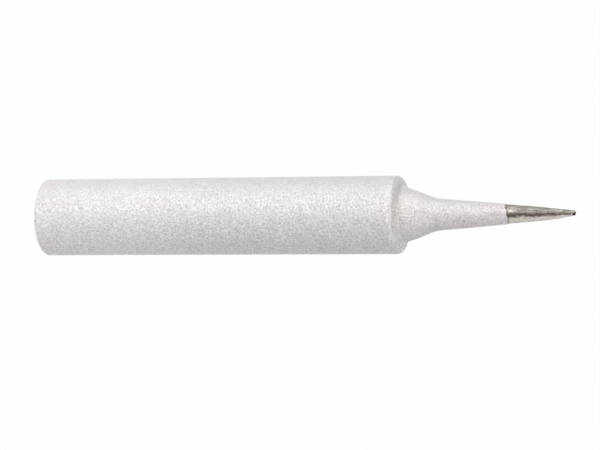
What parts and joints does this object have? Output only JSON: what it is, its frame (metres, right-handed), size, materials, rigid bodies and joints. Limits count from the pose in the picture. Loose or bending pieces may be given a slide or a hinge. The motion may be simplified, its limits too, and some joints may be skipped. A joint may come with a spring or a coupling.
{
  "type": "soldering iron tip",
  "caption": "Slip-over soldering iron tip: a hollow round sleeve that slides over the heater, a sloping, rounded shoulder and a flared neck drawn down to a fine, tinned conical point.",
  "frame": {"origin": "centre of the open rear rim, on the surface the tip stands on", "axes": "+Z along the axis of the tip, towards the point"},
  "size_m": [0.008, 0.008, 0.0571],
  "materials": {
    "matt_plating": "fine grit-blasted, matt silver plating on copper; the last 7 mm of the point is bare iron plating tinned with dull solder"
  },
  "bodies": {
    "root": {"soldering_tip": "matt_plating"}
  },
  "joints": []
}
